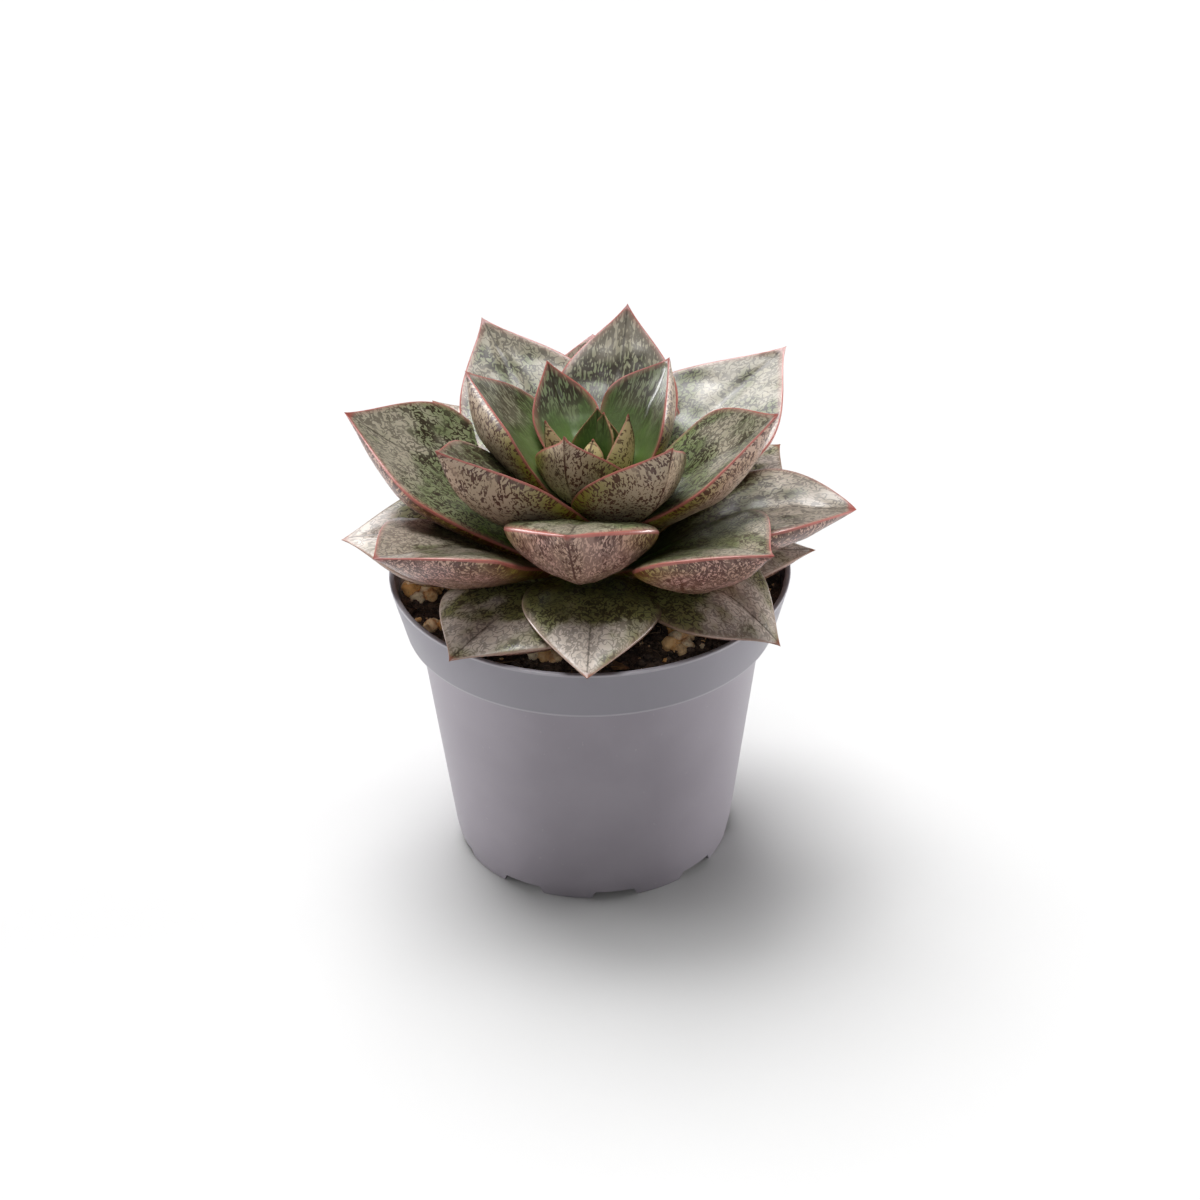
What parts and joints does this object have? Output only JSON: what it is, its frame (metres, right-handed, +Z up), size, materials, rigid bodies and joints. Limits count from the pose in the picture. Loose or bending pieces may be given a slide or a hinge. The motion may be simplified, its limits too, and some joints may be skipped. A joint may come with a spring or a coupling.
{
  "type": "potted succulent",
  "caption": "Rosette of thick, pointed, mottled leaves growing from dark soil with pale grit in a round tapered plastic nursery pot with a collar.",
  "frame": {"origin": "centre of the pot's flat underside, on the surface it stands on; the pot's axis is Z", "axes": "+Z up along the pot's axis; -Y is the front, the side the picture shows"},
  "size_m": [0.1328, 0.1172, 0.1367],
  "materials": {
    "pot_plastic": "satin moulded",
    "peat": "rough crumbly",
    "pumice": "rough",
    "leaf": "waxy satin, mottled",
    "old_leaf": "waxy satin, mottled",
    "young_leaf": "waxy satin",
    "stem_bark": "fleshy, dull",
    "dry_leaf": "dry, dull"
  },
  "bodies": {
    "root": {"pot": "pot_plastic", "soil": "peat", "grit_left": "pumice", "grit_front_left": "pumice", "grit_front": "pumice", "grit_front_right": "pumice", "grit_right": "pumice", "grit_back_right": "pumice", "grit_back_left": "pumice", "withered_leaf": "dry_leaf", "stem": "stem_bark", "leaf_01": "old_leaf", "leaf_02": "old_leaf", "leaf_03": "old_leaf", "leaf_04": "old_leaf", "leaf_05": "old_leaf", "leaf_06": "old_leaf", "leaf_07": "old_leaf", "leaf_08": "old_leaf", "leaf_09": "leaf", "leaf_10": "leaf", "leaf_11": "leaf", "leaf_12": "leaf", "leaf_13": "leaf", "leaf_14": "leaf", "leaf_15": "leaf", "leaf_16": "leaf", "leaf_17": "leaf", "leaf_18": "leaf", "leaf_19": "leaf", "leaf_20": "leaf", "leaf_21": "leaf", "leaf_22": "leaf", "leaf_23": "leaf", "leaf_24": "leaf", "heart": "young_leaf"}
  },
  "joints": []
}
